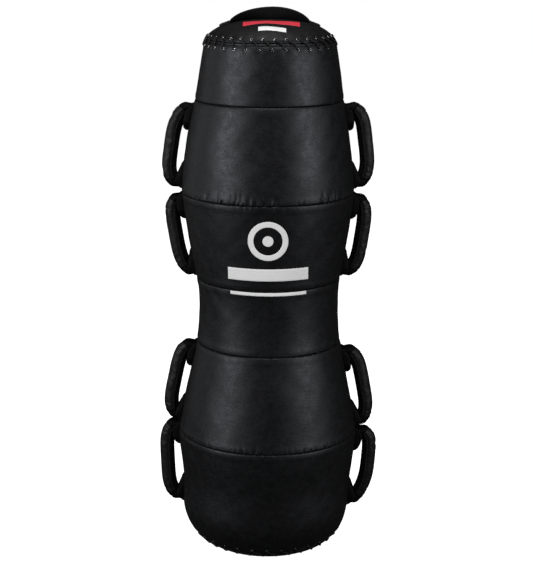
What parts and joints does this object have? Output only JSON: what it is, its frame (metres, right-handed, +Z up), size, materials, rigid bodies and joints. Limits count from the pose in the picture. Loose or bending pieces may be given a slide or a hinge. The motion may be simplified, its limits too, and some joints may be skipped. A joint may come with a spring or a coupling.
{
  "type": "punching bag",
  "caption": "Standing hourglass grappling bag of sewn leather panels over packed filling, with laced end caps, a top carrying strap and padded side handles.",
  "frame": {"origin": "centre of the flat face that the bag stands on", "axes": "+Z up the bag, X through the two rows of side handles, -Y the side that the picture shows"},
  "size_m": [0.4948, 0.4002, 1.2135],
  "materials": {
    "shell_leather": "black synthetic leather, fine grain, satin",
    "cap_leather": "black synthetic leather, fine grain, satin",
    "bottom_leather": "black coated leather, matte",
    "grip_leather": "black synthetic leather sleeve, creased, satin",
    "tab_leather": "black leather, stitched, matte",
    "lace_cord": "black round braided cord",
    "webbing": "black woven webbing, matte",
    "grip_foam": "closed foam round webbing",
    "textile_filling": "rammed textile scraps",
    "sand_sack": "sand in a canvas sack"
  },
  "bodies": {
    "shell": {"collar_panel": "shell_leather", "chest_panel": "shell_leather", "rib_panel": "shell_leather", "waist_panel": "shell_leather", "hip_panel": "shell_leather", "base_panel": "shell_leather", "top_cap": "cap_leather", "bottom_cap": "bottom_leather", "top_lace": "lace_cord", "bottom_lace": "lace_cord", "collar_filling": "textile_filling", "chest_filling": "textile_filling", "rib_filling": "textile_filling", "waist_filling": "textile_filling", "hip_filling": "textile_filling", "base_filling": "textile_filling", "sand_weight": "sand_sack", "carry_strap_left_end": "webbing", "carry_strap_right_end": "webbing", "chest_left_upper_tab": "tab_leather", "chest_left_lower_tab": "tab_leather", "chest_right_upper_tab": "tab_leather", "chest_right_lower_tab": "tab_leather", "rib_left_upper_tab": "tab_leather", "rib_left_lower_tab": "tab_leather", "rib_right_upper_tab": "tab_leather", "rib_right_lower_tab": "tab_leather", "hip_left_upper_tab": "tab_leather", "hip_left_lower_tab": "tab_leather", "hip_right_upper_tab": "tab_leather", "hip_right_lower_tab": "tab_leather", "base_left_upper_tab": "tab_leather", "base_left_lower_tab": "tab_leather", "base_right_upper_tab": "tab_leather", "base_right_lower_tab": "tab_leather"},
    "chest_left_handle": {"chest_left_grip": "grip_leather", "chest_left_grip_core": "grip_foam"},
    "chest_right_handle": {"chest_right_grip": "grip_leather", "chest_right_grip_core": "grip_foam"},
    "rib_left_handle": {"rib_left_grip": "grip_leather", "rib_left_grip_core": "grip_foam"},
    "rib_right_handle": {"rib_right_grip": "grip_leather", "rib_right_grip_core": "grip_foam"},
    "hip_left_handle": {"hip_left_grip": "grip_leather", "hip_left_grip_core": "grip_foam"},
    "hip_right_handle": {"hip_right_grip": "grip_leather", "hip_right_grip_core": "grip_foam"},
    "base_left_handle": {"base_left_grip": "grip_leather", "base_left_grip_core": "grip_foam"},
    "base_right_handle": {"base_right_grip": "grip_leather", "base_right_grip_core": "grip_foam"},
    "carry_handle": {"carry_strap": "webbing"}
  },
  "joints": [
    {"name": "chest_left_swing", "type": "hinge", "parent": "shell", "child": "chest_left_handle", "pos_m": [-0.17402, 0, 1.00192], "axis": [-0.1373, 0, -0.9905], "range_deg": [-40, 40], "stiffness_Nm_per_rad": 0.3},
    {"name": "chest_right_swing", "type": "hinge", "parent": "shell", "child": "chest_right_handle", "pos_m": [0.17402, 0, 1.00192], "axis": [0.1373, 0, -0.9905], "range_deg": [-40, 40], "stiffness_Nm_per_rad": 0.3},
    {"name": "rib_left_swing", "type": "hinge", "parent": "shell", "child": "rib_left_handle", "pos_m": [-0.19819, 0, 0.80348], "axis": [0.1522, 0, -0.9883], "range_deg": [-40, 40], "stiffness_Nm_per_rad": 0.3},
    {"name": "rib_right_swing", "type": "hinge", "parent": "shell", "child": "rib_right_handle", "pos_m": [0.19819, 0, 0.80348], "axis": [-0.1522, 0, -0.9883], "range_deg": [-40, 40], "stiffness_Nm_per_rad": 0.3},
    {"name": "hip_left_swing", "type": "hinge", "parent": "shell", "child": "hip_left_handle", "pos_m": [-0.17221, 0, 0.46827], "axis": [-0.1953, 0, -0.9807], "range_deg": [-40, 40], "stiffness_Nm_per_rad": 0.3},
    {"name": "hip_right_swing", "type": "hinge", "parent": "shell", "child": "hip_right_handle", "pos_m": [0.17495, 0, 0.45527], "axis": [0.1927, 0, -0.9813], "range_deg": [-40, 40], "stiffness_Nm_per_rad": 0.3},
    {"name": "base_left_swing", "type": "hinge", "parent": "shell", "child": "base_left_handle", "pos_m": [-0.20915, 0, 0.28201], "axis": [0.0478, 0, -0.9989], "range_deg": [-40, 40], "stiffness_Nm_per_rad": 0.3},
    {"name": "base_right_swing", "type": "hinge", "parent": "shell", "child": "base_right_handle", "pos_m": [0.21083, 0, 0.26538], "axis": [-0.0674, 0, -0.9977], "range_deg": [-40, 40], "stiffness_Nm_per_rad": 0.3},
    {"name": "carry_strap_fold", "type": "hinge", "parent": "shell", "child": "carry_handle", "pos_m": [0, 0, 1.18312], "axis": [1, 0, 0], "range_deg": [0, 98]}
  ]
}
